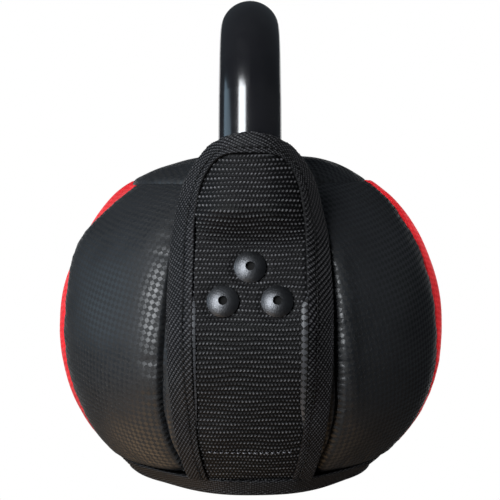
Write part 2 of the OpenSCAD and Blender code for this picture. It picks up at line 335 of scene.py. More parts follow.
def shell(name, points, inward, uv, yarn=None, step=4, ring=False):
    """A closed sheet: a fine front, a back step times coarser and inward of it, and a rim between them."""
    rows, cols = points.shape[:2]
    back_rows = np.arange(0, rows, step)
    back_cols = np.arange(0, cols, step)
    back = (points + inward)[np.ix_(back_rows, back_cols)]
    start = rows * cols
    n = len(back_cols)

    def rim(front_ids, back_ids):
        return [
            [back_ids[k + 1], back_ids[k]] + front_ids[k * step : k * step + step + 1]
            for k in range(len(back_ids) - 1)
        ]

    faces = quads(rows, cols, ring=ring) + quads(len(back_rows), n, start, ring, flip=True)
    wrap = [0] if ring else []
    row_front = list(range(cols)) + wrap
    row_back = list(range(n)) + wrap
    top = (rows - 1) * cols
    back_top = start + (len(back_rows) - 1) * n
    faces += rim(row_front[::-1], [start + j for j in row_back][::-1])
    faces += rim([top + j for j in row_front], [back_top + j for j in row_back])
    if not ring:
        left = [i * cols for i in range(rows)]
        back_left = [start + i * n for i in range(len(back_rows))]
        faces += rim(left, back_left)
        faces += rim([i + cols - 1 for i in left][::-1], [i + n - 1 for i in back_left][::-1])

    def with_back(values):
        behind = values[np.ix_(back_rows, back_cols)]
        return np.concatenate([values.reshape(rows * cols, -1), behind.reshape(len(back_rows) * n, -1)])

    return mesh_object(
        name,
        np.concatenate([points.reshape(-1, 3), back.reshape(-1, 3)]),
        faces,
        with_back(uv),
        None if yarn is None else with_back(yarn),
    )


def stitch_row(name, centres, along, normals, length, radius, sink=0.6):
    """One mesh of sewn stitches: each a short arched thread that dips into the cloth at both ends."""
    rings, sides = 9, 8
    t = np.linspace(-1, 1, rings)[:, None]
    angle = np.linspace(0, 2 * np.pi, sides, endpoint=False)[None, :]
    every = np.ones_like(angle)
    run = t * length / 2 * every
    width = radius * (1 - t**6) ** 0.5 * every
    across = unit(np.cross(along, normals))
    lift = -sink * radius * 3 * t**2 * every
    local = np.stack([run, np.cos(angle) * width, np.sin(angle) * width + lift], axis=-1)
    axes = np.stack([along, across, normals], axis=1)
    points = centres[:, None, None, :] + np.einsum("rsk,nkd->nrsd", local, axes)
    one = quads(rings, sides, ring=True)
    faces = [[v + n * rings * sides for v in face] for n in range(len(centres)) for face in one]
    uv = np.stack([run, angle * radius * np.ones_like(t)], axis=-1)
    return mesh_object(name, points, faces, np.broadcast_to(uv, (len(centres),) + uv.shape))


# ---- Materials ----


class Look:
    """A node material built up from its shader; inputs are numbers, colours or the sockets of other nodes."""

    def __init__(self, name, **shader):
        self.material = bpy.data.materials.new(name)
        self.material.use_nodes = True
        self.tree = self.material.node_tree
        self.shader = self.tree.nodes["Principled BSDF"]
        for key, value in shader.items():
            self.set(self.shader.inputs[key.replace("_", " ")], value)

    def set(self, socket, value):
        """Link a socket to another node's, or give it a number or a colour."""
        if isinstance(value, bpy.types.NodeSocket):
            self.tree.links.new(value, socket)
        elif hasattr(value, "__len__") and len(value) == 3 and socket.type == "RGBA":
            socket.default_value = (*value, 1)
        else:
            socket.default_value = value

    def node(self, kind, inputs=(), **settings):
        made = self.tree.nodes.new("ShaderNode" + kind)
        for key, value in settings.items():
            setattr(made, key, value)
        for key, value in dict(inputs).items():
            self.set(made.inputs[key], value)
        return made

    def math(self, operation, *values):
        return self.node("Math", dict(enumerate(values)), operation=operation).outputs[0]

    def weave(self):
        """The UV layer in millimetres."""
        return self.node("UVMap", uv_map="weave").outputs[0]

    def place(self):
        """The object's own coordinates, in metres."""
        return self.node("TexCoord").outputs["Object"]

    def noise(self, where, scale, detail=3.0, roughness=0.55):
        """Noise of about 0 to 1; scale is in lumps to one unit of where."""
        inputs = {"Vector": where, "Scale": scale, "Detail": detail, "Roughness": roughness}
        return self.node("TexNoise", inputs).outputs[0]

    def span(self, value, a, b, low_out=0.0, high_out=1.0):
        """low_out up to a, high_out from b on, and soft in between."""
        inputs = {"Value": value, "From Min": a, "From Max": b, "To Min": low_out, "To Max": high_out}
        return self.node("MapRange", inputs, interpolation_type="SMOOTHSTEP").outputs[0]

    def blend(self, factor, first, second):
        """A colour between two, by a factor."""
        made = self.node("Mix", data_type="RGBA")
        self.set(made.inputs["Factor"], factor)
        self.set(made.inputs[6], first)
        self.set(made.inputs[7], second)
        return made.outputs[2]

    def bump(self, height, distance, strength=1.0, under=None):
        inputs = {"Height": height, "Distance": distance, "Strength": strength}
        if under is not None:
            inputs["Normal"] = under
        return self.node("Bump", inputs).outputs[0]

    def wear(self, **links):
        """The finished material, with these on its shader."""
        for key, value in links.items():
            self.set(self.shader.inputs[key.replace("_", " ")], value)
        return self.material


# Distance between the diamonds of the leather's embossing, in millimetres.
EMBOSS_PITCH = 3.35


def leather(name, ground, pit_shade_colour, ground_gloss, pit_gloss, **shader):
    """Coated leather embossed with a square lattice of small diamond pits, coloured darker in the pits as a
    painted shade in the recesses.
    """
    look = Look(name, **shader)
    weave = look.weave()
    parts = look.node("SeparateXYZ", {0: weave})
    turn = 2 * math.pi / EMBOSS_PITCH
    waves = [look.math("COSINE", look.math("MULTIPLY", parts.outputs[axis], turn)) for axis in (0, 1)]
    lattice = look.math("ADD", *waves)
    pits = look.span(lattice, -0.05, 0.06)
    broad = look.noise(weave, 0.03, 3)
    grain = look.noise(weave, 2.2, 2)
    scuff = look.noise(weave, 0.25, 4, 0.65)
    # The pits take the darker of the two colours: painted shade in the recesses.
    tone = look.blend(pits, ground, pit_shade_colour)
    shade = look.span(broad, 0.3, 0.7, 0.8, 1.15)
    grey = look.node("CombineXYZ", {0: shade, 1: shade, 2: shade}).outputs[0]
    colour = look.node("VectorMath", {0: tone, 1: grey}, operation="MULTIPLY").outputs[0]
    pit_part = look.span(pits, 0, 1, ground_gloss, pit_gloss)
    gloss = look.math("ADD", pit_part, look.span(scuff, 0.35, 0.7, -0.04, 0.07))
    height = look.math("ADD", look.math("MULTIPLY", pits, -1.0), look.math("MULTIPLY", grain, 0.22))
    return look.wear(Base_Color=colour, Roughness=gloss, Normal=look.bump(height, 0.00012))


def woven(name, gap_shade_colour, top, rough=0.5, **shader):
    """Cloth whose yarns are in its mesh: its colour is painted shade down between the yarns and a painted
    glint on their tops, broken up by fibres and broad patches.
    """
    look = Look(name, **shader)
    weave = look.weave()
    height = look.node("Attribute", attribute_name="yarn").outputs["Fac"]
    fibre = look.noise(weave, 5.0, 3, 0.7)
    broad = look.noise(weave, 0.06, 3)
    # Yarn tops take the lighter colour as a painted glint, and the gaps between yarns take the darker colour
    # as painted shade.
    peaks = look.math("POWER", look.span(height, 0.1, 0.95), 1.8)
    glint_share = look.math("MULTIPLY", peaks, look.span(fibre, 0.2, 0.75, 0.5, 1.2))
    glint_share = look.math("MULTIPLY", glint_share, look.span(broad, 0.3, 0.7, 0.75, 1.1))
    colour = look.blend(glint_share, gap_shade_colour, top)
    gloss = look.span(fibre, 0.3, 0.7, rough - 0.08, rough + 0.14)
    return look.wear(Base_Color=colour, Roughness=gloss, Normal=look.bump(fibre, 0.00018, 0.8))


def thread(name, colour, dark, **shader):
    """Twisted sewing thread."""
    look = Look(name, **shader)
    parts = look.node("SeparateXYZ", {0: look.weave()})
    along = look.math("MULTIPLY", parts.outputs[0], 5.0)
    around = look.math("MULTIPLY", parts.outputs[1], 4.0)
    twist = look.math("SINE", look.math("ADD", along, around))
    tone = look.blend(look.span(twist, -1, 1), dark, colour)
    gloss = look.span(twist, -1, 1, 0.6, 0.4)
    return look.wear(Base_Color=tone, Normal=look.bump(twist, 0.00006), Roughness=gloss)


def coated_metal(name, colour, other, rough, peel, grain, **shader):
    """Painted or bare metal, or plastic: peel is the width and grain the depth of its texture, in metres."""
    look = Look(name, **shader)
    where = look.place()
    fine = look.noise(where, 1 / peel, 2)
    broad = look.noise(where, 25, 4, 0.6)
    tone = look.blend(look.span(broad, 0.35, 0.65), colour, other)
    gloss = look.span(broad, 0.3, 0.7, rough - 0.03, rough + 0.05)
    return look.wear(Base_Color=tone, Roughness=gloss, Normal=look.bump(fine, grain))


def loose_stuff(name, colour, other, size, rough, depth):
    """Fibre, canvas or grains that fill the inside: size in metres of one tuft or grain."""
    look = Look(name)
    where = look.place()
    cells = look.node("TexVoronoi", {"Vector": where, "Scale": 1 / size}).outputs["Distance"]
    tufts = look.noise(where, 0.6 / size, 4, 0.7)
    both = look.math("ADD", look.math("MULTIPLY", cells, 0.6), look.math("MULTIPLY", tufts, 0.6))
    tone = look.blend(look.span(both, 0.3, 0.9), colour, other)
    gloss = look.span(tufts, 0.3, 0.7, rough, rough + 0.15)
    return look.wear(Base_Color=tone, Roughness=gloss, Normal=look.bump(both, depth))


DULL = {"Specular_IOR_Level": 0.1}
METAL = {"Metallic": 1.0}
GLOSSY_COAT = {"Coat_Weight": 0.9, "Coat_Roughness": 0.12}

BLACK_LEATHER = leather("black_leather", (0.008, 0.009, 0.0105), (0.0026, 0.003, 0.0036), 0.42, 0.74)
# The facing leather is much paler than the black leather, with near-black pits: a painted highlight for the
# lamp's glints on its diamonds.
FACING_LEATHER_PAINTED_GLINT = leather(
    "facing_leather_painted_glint", (0.028, 0.029, 0.032), (0.001, 0.001, 0.001), 0.42, 0.8, Specular_IOR_Level=0.3
)
RED_LEATHER = leather(
    "red_leather", (0.64, 0.016, 0.022), (0.52, 0.012, 0.017), 0.46, 0.6, Specular_IOR_Level=0.3
)
# In each cloth the first colour is painted shade between the yarns and the second a painted glint on their
# tops.
BLACK_WEBBING = woven("black_webbing", (0.0025, 0.0025, 0.0027), (0.106, 0.106, 0.111), **DULL)
BLACK_TWILL = woven("black_twill", (0.001, 0.001, 0.0012), (0.066, 0.066, 0.07), **DULL)
BASE_CLOTH = woven(
    "base_cloth", (0.0015, 0.0015, 0.0015), (0.045, 0.045, 0.045), 0.6, Specular_IOR_Level=0.3
)
BLACK_THREAD = thread(
    "black_thread", (0.008, 0.008, 0.008), (0.002, 0.002, 0.002), Specular_IOR_Level=0.2
)
GREY_THREAD = thread("grey_thread", (0.09, 0.09, 0.1), (0.03, 0.03, 0.034))
PINK_THREAD = thread("pink_thread", (0.85, 0.30, 0.30), (0.55, 0.08, 0.09))
HANDLE_BLACK = coated_metal(
    "handle_black", (0.004, 0.004, 0.005), (0.006, 0.006, 0.007), 0.19, 0.0016, 0.000006, **GLOSSY_COAT
)
RIVET_BLACK = coated_metal(
    "rivet_black", (0.078, 0.08, 0.086), (0.12, 0.123, 0.13), 0.42, 0.0005, 0.00013, **METAL
)
BARE_STEEL = coated_metal(
    "bare_steel", (0.32, 0.32, 0.33), (0.22, 0.21, 0.2), 0.34, 0.0004, 0.00002, **METAL
)
# The mandrels sit down in the rivets' holes and are coloured near black: painted shade for the inside of each
# hole.
MANDREL_SHADE_BLACK = coated_metal(
    "mandrel_steel", (0.004, 0.004, 0.004), (0.002, 0.002, 0.002), 0.6, 0.0004, 0.00004, **DULL
)
STIFF_PLASTIC = coated_metal(
    "stiffener_plastic", (0.03, 0.03, 0.03), (0.05, 0.05, 0.05), 0.5, 0.0008, 0.00003
)
WADDING_FIBRE = loose_stuff("wadding_fibre", (0.55, 0.53, 0.5), (0.8, 0.79, 0.76), 0.004, 0.85, 0.0008)
BAG_CANVAS = loose_stuff("bag_canvas", (0.33, 0.29, 0.22), (0.45, 0.4, 0.31), 0.0012, 0.8, 0.0003)
IRON_SAND = loose_stuff("iron_sand", (0.05, 0.045, 0.04), (0.16, 0.15, 0.14), 0.001, 0.4, 0.0004)


def dress(obj, material, rides="root"):
    """Gives a new piece its material, and lets it ride with the ball."""
    obj.data.materials.clear()
    obj.data.materials.append(material)
    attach(obj, rides)
    return obj


# ---- Leather panels ----

# Panels are laid out as eighths of the ball, in degrees. The rest of these are in millimetres.
PANEL_WIDTH = 45.0
SEAM_DEPTH = 1.4
BASE_SEAM_DEPTH = 0.5
SEAM_WIDTH = 2.6
STITCH_PITCH = 3.9
PUFF = 1.1

# The leather beside a strap: sharply rolled and sloping on one side of it, soft with a low hump on the other.
CREVICE_DEPTH = 2.5
CREVICE_WIDTH = 0.6
CREVICE_SCALLOP = 0.35
SHARP_ROLL = 2.0
SHARP_DROP = 3.4
SOFT_ROLL = 5.0
SOFT_DROP = 0.6
SHOULDER_WIDTH = 24.0
SOFT_HUMP = 2.0
HUMP_AT = 8.5
HUMP_WIDTH = 6.0


def panel_profile(count):
    """Radius, height and running length up the ball from the base seam to the top seam."""
    z = np.linspace(BASE_SEAM_Z, TOP_SEAM_Z, 3000)
    line = np.stack([ball_r(z), z], axis=-1)
    run = lengths_along(line)
    s = dense_at_ends(count, 0.4) * run[-1]
    return np.interp(s, run, line[:, 0]), np.interp(s, run, z), s


def swollen(points, slack=0.03, cap=12.0, last_frame=20):
    """How far, in millimetres outwards, a sheet sewn down all round its border swells in a cloth simulation.

    The sheet is simulated ten times too large, a size at which the solver is steady.
    """
    rows, cols = points.shape[:2]
    scale = 10.0
    obj = mesh_object("swelling", points * scale, quads(rows, cols))
    ids = np.arange(rows * cols).reshape(rows, cols)
    border = np.unique(np.concatenate([ids[0], ids[-1], ids[:, 0], ids[:, -1]]))
    sewn = obj.vertex_groups.new(name="sewn")
    sewn.add(border.tolist(), 1.0, "REPLACE")
    cloth = obj.modifiers.new("Cloth", "CLOTH")
    cloth.settings.quality = 6
    cloth.settings.vertex_group_mass = "sewn"
    cloth.settings.use_pressure = True
    cloth.settings.uniform_pressure_force = 4.0
    cloth.settings.shrink_min = -slack
    cloth.settings.effector_weights.gravity = 0
    cloth.settings.tension_stiffness = 20
    cloth.settings.compression_stiffness = 20
    cloth.settings.bending_stiffness = 0.6
    scene = bpy.context.scene
    for step in range(1, last_frame + 1):
        scene.frame_set(step)
    done = obj.evaluated_get(bpy.context.evaluated_depsgraph_get()).data
    co = np.zeros(rows * cols * 3)
    done.vertices.foreach_get("co", co)
    moved = co.reshape(rows, cols, 3) / MM / scale - points
    scene.frame_set(1)
    bpy.data.objects.remove(obj)
    return np.clip((moved * normals_of(points)).sum(-1), -cap, cap)


def sunk_seam(distance, along, seed, depth=SEAM_DEPTH):
    """The dip beside a sewn seam: a round shoulder, small puckers at each stitch and longer ones between."""
    dip = -depth * (1 - round_over(distance, SEAM_WIDTH))
    wander = along + 0.6 * ripple(along, 0 * along, 23, seed)
    stitch = 0.5 + 0.5 * np.cos(2 * np.pi * wander / STITCH_PITCH)
    pull = np.clip(ripple(along, distance * 0.6, 15, seed + 1) + 0.2, 0, 2)
    return dip - 0.4 * stitch * np.exp(-distance / 2.6) - 0.5 * pull * np.exp(-distance / 7)


def seam_angle(degrees, z):
    """A seam's place round the ball at a height.

    Each wanders a little. Seams beside a strap spread near its foot. Red panels are narrower than an eighth
    of the ball, and pulled narrower still high on one side.
    """
    wander = 0.25 * ripple(z, 0 * z, 60, int(degrees % 360))
    from_strap = degrees - 180 * round(degrees / 180)
    away = math.copysign(1, from_strap)
    if abs(from_strap) < PANEL_WIDTH:
        spread = 1.2 if away < 0 else 0
        return degrees + wander + away * (spread + 2.6 * hump(z, 38, 36))
    pinch = 5.0 * hump(z, 141, 24) if away < 0 else 0
    return degrees + wander + away * (2.0 + 2.2 * smooth(152, 122, z) + pinch)


def gore_grid(start, rows, cols, even=False):
    """A panel's smooth surface, and at each point the degrees round, the width there and the run up it."""
    r, z, s = panel_profile(rows)
    u = np.linspace(0, 1, cols) if even else dense_at_ends(cols)
    left, right = seam_angle(start, z)[:, None], seam_angle(start + PANEL_WIDTH, z)[:, None]
    degrees = mix(left, right, u[None, :])
    a = np.radians(degrees)
    radius = r[:, None]
    points = np.stack(np.broadcast_arrays(radius * np.cos(a), radius * np.sin(a), z[:, None]), axis=-1)
    return points, degrees, radius * np.radians(right - left), s, u


def swell_field(start):
    """A panel's puffed shape on a coarse grid, from 0 at its fullest to -1 at the seams."""
    rows, cols = 60, 28
    points, _, _, s, _ = gore_grid(start, rows, cols, even=True)
    field = swollen(points)
    return field / np.percentile(field, 97) - 1


def beside_strap(beside, along, z, sharp):
    """How far the leather lies off its place near the edge that a strap presses down."""
    scallop = CREVICE_SCALLOP * np.cos(2 * np.pi * along / STITCH_PITCH)
    roll, drop, rise = (SHARP_ROLL, SHARP_DROP, 0.0) if sharp else (SOFT_ROLL, SOFT_DROP, SOFT_HUMP)
    shoulder = drop * (round_over(beside, SHOULDER_WIDTH) - 1)
    swell = rise * hump(beside, HUMP_AT, HUMP_WIDTH) * smooth(150, 120, z) * smooth(35, 80, z)
    crevice = CREVICE_DEPTH * (smooth(0, roll, beside - CREVICE_WIDTH - scallop) - 1)
    return shoulder + swell + crevice


def bulge_sum(points, degrees, bulges):
    """Soft swellings, each (degrees round the ball, height, size, rise), added up at each point."""
    total = 0.0
    for middle, height, size, rise in bulges:
        around = np.radians(degrees - middle) * np.hypot(points[..., 0], points[..., 1])
        gap = np.hypot(around, points[..., 2] - height)
        total = total + rise * hump(gap, 0, size)
    return total


def leather_gore(name, start, field, seed, tilt, lumps=0.5, strap_edge=None, bulges=(), clamp=None):
    """One side panel, from the base seam to the top seam, sewn down along all four sides.

    strap_edge is the share across, 0 or 1, of an edge that a strap presses down; tilt is how diamonds lie.
    """
    rows, cols = 241, 121
    points, degrees, width, s, u = gore_grid(start, rows, cols)
    across, along = np.broadcast_arrays(u[None, :] * width, s[:, None])
    side = np.minimum(across, width - across)
    off = sunk_seam(side, along, seed) + sunk_seam(s[-1] - along, across, seed + 5)
    off = off + sunk_seam(along, across, seed + 6, BASE_SEAM_DEPTH)
    off = off + bicubic(field, s / s[-1], u) * PUFF
    soft = ripple(across, along, 60, seed + 7) + 0.2 * ripple(across, along, 21, seed + 8)
    off = off + lumps * soft * smooth(0, 12, side) * smooth(0, 12, np.minimum(along, s[-1] - along))
    if strap_edge is not None:
        off = off + beside_strap(np.abs(across - strap_edge * width), along, points[..., 2], strap_edge == 1)
    off = off + bulge_sum(points, degrees, bulges)
    normals = normals_of(points)
    if clamp is not None:
        points, normals, off = clamp(points, normals, off)
    points = points + normals * off[..., None]
    rng = np.random.default_rng(seed)
    uv = turned_flat(across - width / 2, along, tilt) + rng.uniform(0, 50, 2)
    red = name.startswith("red")
    obj = shell(name, points, -SKIN_T * normals, uv)
    dress(obj, RED_LEATHER if red else BLACK_LEATHER)
    return obj


def strap_seam_y(z):
    """Half width at a height of the panel under a strap."""
    return ball_r(z) * np.sin(np.radians(seam_angle(PANEL_WIDTH / 2, z)))


def under_strap(side):
    """The panel under a strap lies lower than the webbing, and flat behind the plate that rivets clamp."""
    plate_z = PLATE_MID[2]
    turn = SIDES[side]

    def clamp(points, normals, off):
        near = turned(points, turn)
        y, z = near[..., 1], near[..., 2]
        within = smooth(plate_z - 30, plate_z - 18, z) * smooth(plate_z + 30, plate_z + 18, z)
        clamped = smooth(32, 24, np.abs(y)) * within
        back = np.stack([leg_x(z) - 2.3 / math.cos(LEAN), y, z], axis=-1)
        flat = turned(back, -turn)
        outward = turned(np.broadcast_to(OUTWARD, points.shape), -turn)
        hidden = smooth(STRAP_HALF, STRAP_HALF - 10, np.abs(y))
        off = mix(off, np.minimum(off, -1.2), hidden)
        off = off + 3.4 * (round_over(strap_seam_y(z) - np.abs(y), 2.2) - 1)
        w = clamped[..., None]
        return mix(points, flat, w), unit(mix(normals, outward, w)), off * (1 - clamped)

    return clamp


def side_panels():
    """The eight side panels. The ball is lopsided: its swellings are repeated half a turn round."""
    red = swell_field(90 - PANEL_WIDTH / 2)
    black = swell_field(45 - PANEL_WIDTH / 2)
    half_ball = ((-80, 164, 20, -2.6), (79, 160, 32, 4.2), (74, 52, 30, 2.2))
    lopsided = [(middle + turn, *rest) for middle, *rest in half_ball for turn in (-180, 0, 180)]
    beside_seam = [(middle, 139, 20, 3.6) for middle in (-70, 110)]
    dents = [(middle, 140, 20, -2.2) for middle in (-86, 94)]
    for name, middle, field, seed, tilt in (
        ("front", -90, red, 11, 12),
        ("back", 90, red[:, ::-1], 12, -14),
    ):
        start = middle - PANEL_WIDTH / 2
        obj = leather_gore("red_cover_" + name, start, field, seed, tilt, bulges=lopsided + dents)
        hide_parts("red_panel_" + name)
    for name, middle, field, seed, tilt, edge in (
        ("front_right", -45, black, 13, -11, 1),
        ("back_right", 45, black[:, ::-1], 14, 13, 0),
        ("back_left", 135, black, 15, -12, 1),
        ("front_left", 225, black[:, ::-1], 16, 14, 0),
    ):
        start = middle - PANEL_WIDTH / 2
        bulges = lopsided + beside_seam
        obj = leather_gore("black_cover_" + name, start, field, seed, tilt, strap_edge=edge, bulges=bulges)
        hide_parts("black_panel_" + name)
    for side, seed in (("right", 17), ("left", 18)):
        start = SIDES[side] - PANEL_WIDTH / 2
        clamp = under_strap(side)
        obj = leather_gore("strap_cover_" + side, start, 0 * black, seed, 4, lumps=0.3, clamp=clamp)
        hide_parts("strap_panel_" + side)


def top_cover():
    """The round top panel, domed over the filling and sunk at its seam."""
    rows, cols = 105, 360
    rho = np.linspace(1, 1e-7, rows)[:, None] ** 0.85
    angle = np.linspace(0, 2 * np.pi, cols, endpoint=False)[None, :]
    radius = rho * TOP_SEAM_R
    rise = (DOME_TOP_Z - TOP_SEAM_Z) * (1 - rho**2) ** 0.78
    x, y = radius * np.cos(angle), radius * np.sin(angle)
    points = np.stack(np.broadcast_arrays(x, y, TOP_SEAM_Z + rise), axis=-1)
    x, y = points[..., 0], points[..., 1]
    side = np.broadcast_to(TOP_SEAM_R - radius, points.shape[:2])
    along = np.broadcast_to(angle * TOP_SEAM_R, points.shape[:2])
    off = 0.5 * ripple(x, y, 55, 31) * smooth(0, 15, side)
    off = off + 0.2 * ripple(x, y, 18, 32) * smooth(0, 8, side)
    off = off + 2.2 * hump(y, 46, 22) * smooth(0, 12, side)
    uv = turned_flat(x, y, 14)
    points[..., 2] += sunk_seam(side, along, 33) + off
    obj = shell("top_cover", points, np.array([0, 0, -SKIN_T]), uv, ring=True)
    dress(obj, BLACK_LEATHER)
    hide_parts("top_panel")


def seam_threads():
    """Stitches that show: pink thread along the folded edge of each red panel."""
    r, z, s = panel_profile(600)
    beads = np.arange(8, s[-1] - 6, STITCH_PITCH)
    rb, zb = np.interp(beads, s, r), np.interp(beads, s, z)
    slope = unit(np.stack([np.interp(beads, s, np.gradient(line)) for line in (r, z)], axis=-1))
    for name, angle, inward in (
        ("front_right", -67.5, -1),
        ("front_left", -112.5, 1),
        ("back_right", 67.5, 1),
        ("back_left", 112.5, -1),
    ):
        a = np.radians(seam_angle(angle, zb)) + inward * 1.3 / rb
        outward = np.stack([slope[:, 1] * np.cos(a), slope[:, 1] * np.sin(a), -slope[:, 0]], axis=-1)
        along = np.stack([slope[:, 0] * np.cos(a), slope[:, 0] * np.sin(a), slope[:, 1]], axis=-1)
        centres = np.stack([rb * np.cos(a), rb * np.sin(a), zb], axis=-1) - 2.9 * outward
        obj = stitch_row("red_seam_thread_" + name, centres, along, outward, 3.0, 0.42)
        dress(obj, PINK_THREAD)


# ---- Webbing, edging tape and pocket ----

RIB_PITCH = 2.42
DASH_PITCH = 1.9
TWILL_PITCH = 1.75
TWILL_DOT = 1.3
TAPE_STITCH_PITCH = 3.4
TAPE_STITCH_IN = 4.2

# Where each rivet goes through, across and up from the middle of the plate.
RIVET_SPOTS = {"top": (0.0, 9.0), "front": (-14.0, -9.0), "back": (14.0, -9.0)}


def rib_weave(y, s):
    """Height from 0 to 1 of heavy ribbed webbing: rows of slanting floats, every other row half shifted."""
    row = np.floor(s / RIB_PITCH)
    t = s / RIB_PITCH - row
    shift = 0.5 * (row % 2)
    lean = np.where(row % 2 == 0, 0.55, -0.12)
    c = y / DASH_PITCH + shift - lean * (t - 0.5)
    column = np.floor(c)
    d = c - column
    rib = np.sin(np.pi * t) ** 1.8
    dash = np.sin(np.pi * d) ** 1.9
    uneven = 0.8 + 0.2 * np.sin(column * 12.9898 + row * 78.233)
    return rib * (0.15 + 0.85 * dash) * uneven


def strap_run(count):
    """Heights up the strap's middle at even distances along it, and those distances."""
    z = np.linspace(STRAP_LOW_Z, STRAP_MID_Z + INNER_RISE + 1.5, 3000)
    line = np.stack([strap_x(0 * z, z), z], axis=-1)
    run = lengths_along(line)
    s = np.linspace(0, run[-1], count)
    return np.interp(s, run, z), s


def webbing(side):
    rows, cols = 505, 153
    z, s = strap_run(rows)
    half = np.maximum(web_y(z), 4) + 0.7
    y = np.linspace(-1, 1, cols)[None, :] * half[:, None]
    zz = np.broadcast_to(z[:, None], y.shape)
    ss = np.broadcast_to(s[:, None], y.shape)
    ss = ss + 0.4 * ripple(y, ss, 24, 41)
    height = rib_weave(y, ss)
    wave = 0.35 * ripple(y, ss, 34, 42) * smooth(8, 30, ss)
    off = WEB_T + 0.75 * (height - 1) + 0.15 + wave
    for across, up in RIVET_SPOTS.values():
        gap = np.hypot(y - across, (zz - PLATE_MID[2]) / math.cos(LEAN) - up)
        off = off - 0.5 * smooth(12, 8.6, gap) - wave * smooth(16, 9, gap)
    points = strap_point(y, zz, off)
    uv = np.stack([y, ss], axis=-1)
    inward = -1.6 * strap_normal(y, zz)
    turn = SIDES[side]
    obj = shell(f"webbing_{side}", turned(points, turn), turned(inward, turn), uv, height)
    dress(obj, BLACK_WEBBING)
    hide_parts(f"webbing_strap_{side}")


def twill_weave(s, t, lean):
    """Height from 0 to 1 of twill tape: steep ridges with the beads of single yarns along them."""
    a = math.radians(lean)
    phase = (t * math.cos(a) + s * math.sin(a)) / TWILL_PITCH
    ridge_number = np.floor(phase)
    bead = (s * math.cos(a) - t * math.sin(a)) / TWILL_DOT + 0.37 * ridge_number
    ridge = np.sin(np.pi * (phase - ridge_number)) ** 0.9
    beads = np.sin(np.pi * (bead - np.floor(bead))) ** 1.2
    uneven = 0.88 + 0.12 * np.sin(ridge_number * 12.9898 + np.floor(bead) * 78.233)
    return ridge * (0.35 + 0.65 * beads) * uneven


def tape_line(count):
    """Values of phi at even distances along the middle of the edging tape, and those distances."""
    phi = np.linspace(-90, 270, 4000)
    yz = tape_yz(phi, 0.5 + 0 * phi)
    line = strap_point(yz[:, 0], yz[:, 1], 0 * phi)
    run = lengths_along(line)
    s = np.linspace(0, run[-1], count)
    return np.interp(s, run, phi), s


def edging(side):
    rows, cols = 1041, 41
    phi, s = tape_line(rows)
    t = dense_at_ends(cols, 0.35)
    yz = tape_yz(*np.broadcast_arrays(phi[:, None], t[None, :]))
    y, z = yz[..., 0], yz[..., 1]
    across = np.broadcast_to(t[None, :] * TAPE_W, y.shape)
    along = np.broadcast_to(s[:, None], y.shape)
    height = twill_weave(along, across, -34)
    inner = round_over(across, 0.9)
    outer = round_over(TAPE_W - across, 2.6)
    stitches = 0.55 + 0.45 * np.cos(2 * np.pi * along / TAPE_STITCH_PITCH)
    sewn = hump(across, TAPE_STITCH_IN, 0.7) * stitches
    off = WEB_T + LAYER_GAP + TAPE_T * inner - 3.4 * (1 - outer) + 0.6 * (height - 1) - 0.35 * sewn
    off = off + 0.3 * ripple(along, across, 26, 51)
    points = strap_point(y, z, off)
    normals = strap_normal(y, z)
    uv = np.stack([across, along], axis=-1)
    # The yarn value that sets the colour is lowered along the stitch line and at the tape's inner edge:
    # painted shade where the tape dips.
    height = height * inner * (1 - 0.5 * sewn)
    points, inward = (turned(v, SIDES[side])[:, ::-1] for v in (points, -normals))
    obj = shell(f"edging_{side}", points, inward, uv[:, ::-1], height[:, ::-1])
    dress(obj, BLACK_TWILL)
    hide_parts(f"strap_edging_{side}")


def strap_threads(side):
    """The row of stitches along the edging tape, and the row across the webbing's foot."""
    turn = SIDES[side]
    _, length = tape_line(10)
    count = int(length[-1] / TAPE_STITCH_PITCH)
    phi, _ = tape_line(count + 1)
    yz = tape_yz(phi, TAPE_STITCH_IN / TAPE_W + 0 * phi)
    centres = strap_point(yz[:, 0], yz[:, 1], 0 * phi + WEB_T + LAYER_GAP + TAPE_T - 0.1)
    along = unit(np.gradient(centres, axis=0))
    normals = strap_normal(yz[:, 0], yz[:, 1])
    lie = [turned(v, turn) for v in (centres, along, normals)]
    dress(stitch_row(f"edging_thread_{side}", *lie, 2.5, 0.3), BLACK_THREAD)
    y = np.arange(-21, 21.1, 3.0)
    z = 29 + 0 * y
    centres = strap_point(y, z, 0 * y + WEB_T + 0.25)
    along = np.broadcast_to([0.0, 1.0, 0.0], centres.shape)
    lie = [turned(v, turn) for v in (centres, along, strap_normal(y, z))]
    dress(stitch_row(f"foot_thread_{side}", *lie, 2.2, 0.4), GREY_THREAD)


def facing(side):
    """The leather facing under the tape: a narrow strip of it shows along the tape's inner edge, in paler
    leather that is a painted highlight.
    """
    foot, head = 42, 113
    for name, edge, width in (("front", -1, 0.9), ("back", 1, 2.3)):
        z = np.linspace(foot, head, 160)[:, None]
        t = np.linspace(0, 1, 9)[None, :]
        shown = width * smooth(head, head - 6, z) * smooth(foot, foot + 18, z)
        y = edge * (web_y(z) + mix(-shown, 0.3, t))
        off = WEB_T + 0.1 + 0.5 * t * width + 0.08 * ripple(y, z + 0 * t, 12, 55)
        z = np.broadcast_to(z, y.shape)
        points = turned(strap_point(y, z, off), SIDES[side])
        inward = turned(-0.5 * strap_normal(y, z), SIDES[side])
        uv = np.stack([edge * y - web_y(z) + width / 2 + EMBOSS_PITCH / 2, z], axis=-1)
        order = slice(None, None, edge)
        obj = shell(f"leather_facing_{name}_{side}", points[:, order], inward[:, order], uv[:, order])
        dress(obj, FACING_LEATHER_PAINTED_GLINT)


